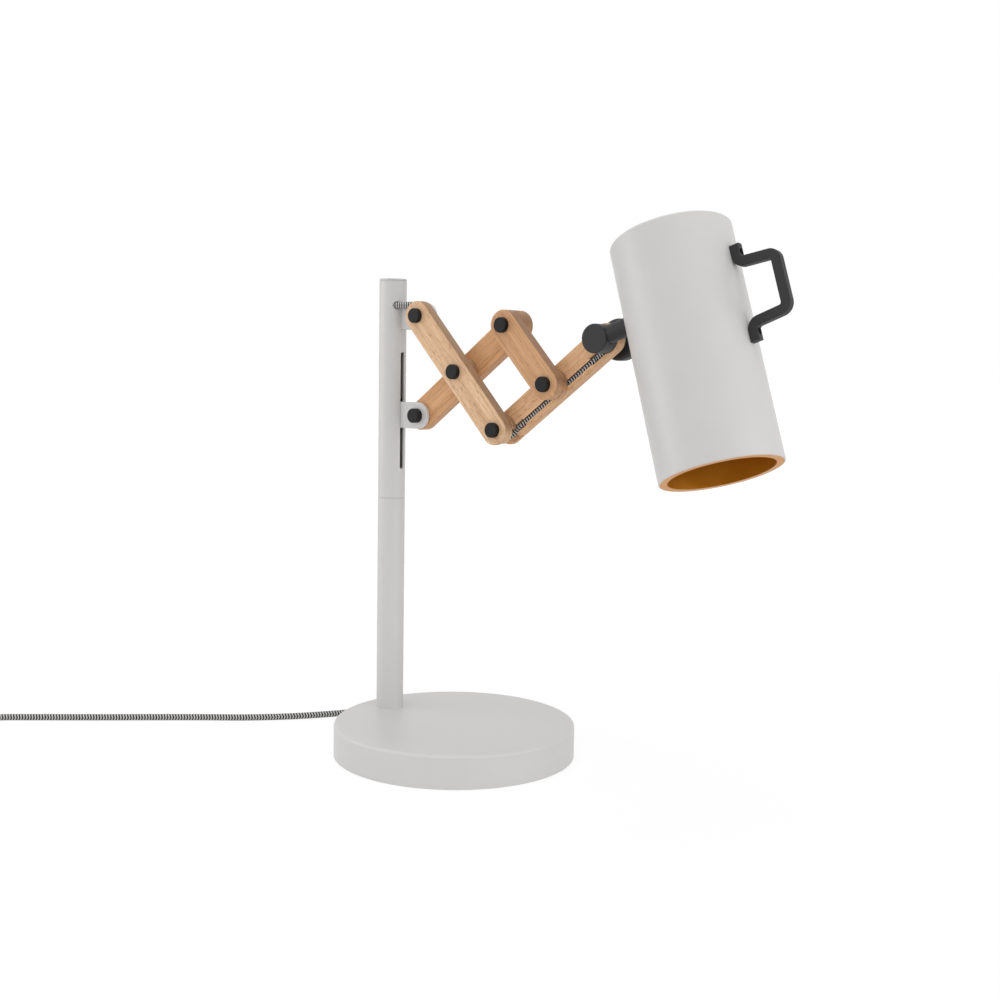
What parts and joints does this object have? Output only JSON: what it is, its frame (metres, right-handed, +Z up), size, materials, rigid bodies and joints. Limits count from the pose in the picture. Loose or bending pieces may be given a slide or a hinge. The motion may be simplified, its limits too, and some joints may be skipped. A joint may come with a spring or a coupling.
{
  "type": "table lamp",
  "caption": "Table lamp with a weighted round foot, a pole, a wooden scissor arm that folds on a slider, and a mug-shaped shade with a handle on a tilting, swivelling neck.",
  "frame": {"origin": "centre of the round foot's underside, on the surface it stands on", "axes": "+Z up along the pole; +X from the pole towards the shade, in the arm's plane; the arm folds in the XZ plane"},
  "size_m": [0.6752, 0.5073, 0.4311],
  "materials": {
    "light_coat": "fine matt powder coat, warm light grey",
    "gold_coat": "satin gold coat",
    "oak": "oiled, fine lengthwise grain",
    "black_coat": "matt black powder coat",
    "black_pin": "matt black",
    "zinc_steel": "zinc plated",
    "grey_iron": "as cast",
    "dark_foam": "fine-pored foam rubber",
    "shoe_nylon": "moulded nylon",
    "braid": "black and white textile braid",
    "black_plastic": "fine spark-eroded texture",
    "rocker_plastic": "smooth moulded",
    "plug_metal": "nickel plated",
    "opal_glass": "opal white"
  },
  "bodies": {
    "foot_and_pole": {"base_cover": "light_coat", "counterweight": "grey_iron", "base_plate": "zinc_steel", "foot_pad": "dark_foam", "base_screws": "zinc_steel", "pole_stud": "zinc_steel", "stud_nut": "zinc_steel", "pole_foot_plug": "zinc_steel", "pole_lower": "light_coat", "pole_joiner": "zinc_steel", "pole_upper": "light_coat", "pole_cap": "light_coat", "fixed_tab": "light_coat", "pole_cord": "braid", "cord_to_arm": "braid", "cord_relief": "black_plastic", "mains_cord": "braid", "switch_base": "black_plastic", "switch_cover": "black_plastic", "cord_coil": "braid", "plug_body": "black_plastic", "plug_pins": "plug_metal"},
    "slider": {"slider_tab": "light_coat", "slider_shoe": "shoe_nylon"},
    "upper_link": {"upper_bar": "oak", "upper_spacers": "oak", "fixed_pivot_pin": "black_pin", "fixed_pivot_cap": "black_pin", "upper_pivot_pins": "black_pin", "upper_pivot_caps": "black_pin", "upper_cord": "braid", "elbow_cord": "braid"},
    "cross_link": {"cross_bar": "oak", "slider_pivot_pin": "black_pin", "slider_pivot_cap": "black_pin"},
    "short_link": {"short_bar": "oak", "short_spacers": "oak", "short_pivot_pins": "black_pin", "short_pivot_caps": "black_pin"},
    "neck_link": {"neck_bar": "oak", "lower_cord": "braid", "neck_cord": "braid"},
    "neck": {"neck_barrel": "black_coat", "neck_stub": "black_coat", "neck_nut": "zinc_steel", "clamp_stud": "zinc_steel", "head_cord": "braid"},
    "knob": {"clamp_knob": "black_coat"},
    "shade": {"shade_shell": "light_coat", "shade_liner": "gold_coat", "shade_handle": "black_coat", "handle_screws": "black_coat", "holder_plate": "zinc_steel", "holder_nipple": "zinc_steel", "holder_nut": "zinc_steel", "holder_dome": "black_plastic", "holder_skirt": "black_plastic", "bulb_cap": "plug_metal", "bulb_glass": "opal_glass"},
    "rocker": {"switch_rocker": "rocker_plastic"}
  },
  "joints": [
    {"name": "arm_fold", "type": "hinge", "parent": "foot_and_pole", "child": "upper_link", "pos_m": [-0.0362, 0, 0.3618], "axis": [0, 1, 0], "range_deg": [-14, 22], "deforming": ["cord_to_arm"]},
    {"name": "cross_turn", "type": "hinge", "parent": "upper_link", "child": "cross_link", "pos_m": [0.0047, 0, 0.31681], "axis": [0, 1, 0], "range_deg": [-47.4, 30.2]},
    {"name": "neck_bar_turn", "type": "hinge", "parent": "upper_link", "child": "neck_link", "pos_m": [0.04559, 0, 0.27182], "axis": [0, 1, 0], "range_deg": [-47.4, 30.2], "deforming": ["elbow_cord"]},
    {"name": "short_bar_turn", "type": "hinge", "parent": "cross_link", "child": "short_link", "pos_m": [0.05289, 0, 0.35387], "axis": [0, 1, 0], "range_deg": [-30.2, 47.4]},
    {"name": "slider_turn", "type": "hinge", "parent": "cross_link", "child": "slider", "pos_m": [-0.0435, 0, 0.27974], "axis": [0, 1, 0], "range_deg": [-16.2, 25.4]},
    {"name": "head_tilt", "type": "hinge", "parent": "neck_link", "child": "neck", "pos_m": [0.13897, 0, 0.34363], "axis": [0, 1, 0], "range_deg": [-50, 60], "deforming": ["neck_cord"]},
    {"name": "clamp_turn", "type": "hinge", "parent": "neck", "child": "knob", "pos_m": [0.13897, 0, 0.34363], "axis": [0, 1, 0], "range_deg": [0, 180]},
    {"name": "shade_swivel", "type": "hinge", "parent": "neck", "child": "shade", "pos_m": [0.13897, -0.00565, 0.34363], "axis": [0.9385, 0, 0.3453], "range_deg": [-82, 98]},
    {"name": "switch_press", "type": "hinge", "parent": "foot_and_pole", "child": "rocker", "pos_m": [-0.29638, -0.28336, 0.0145], "axis": [0.518, 0.8554, 0], "range_deg": [0, 16]}
  ],
  "couplings": [
    {"joint": "cross_turn", "follows": "arm_fold", "ratio": -2.15},
    {"joint": "neck_bar_turn", "follows": "arm_fold", "ratio": -2.15},
    {"joint": "short_bar_turn", "follows": "arm_fold", "ratio": 2.15},
    {"joint": "slider_turn", "follows": "arm_fold", "ratio": 1.15}
  ]
}
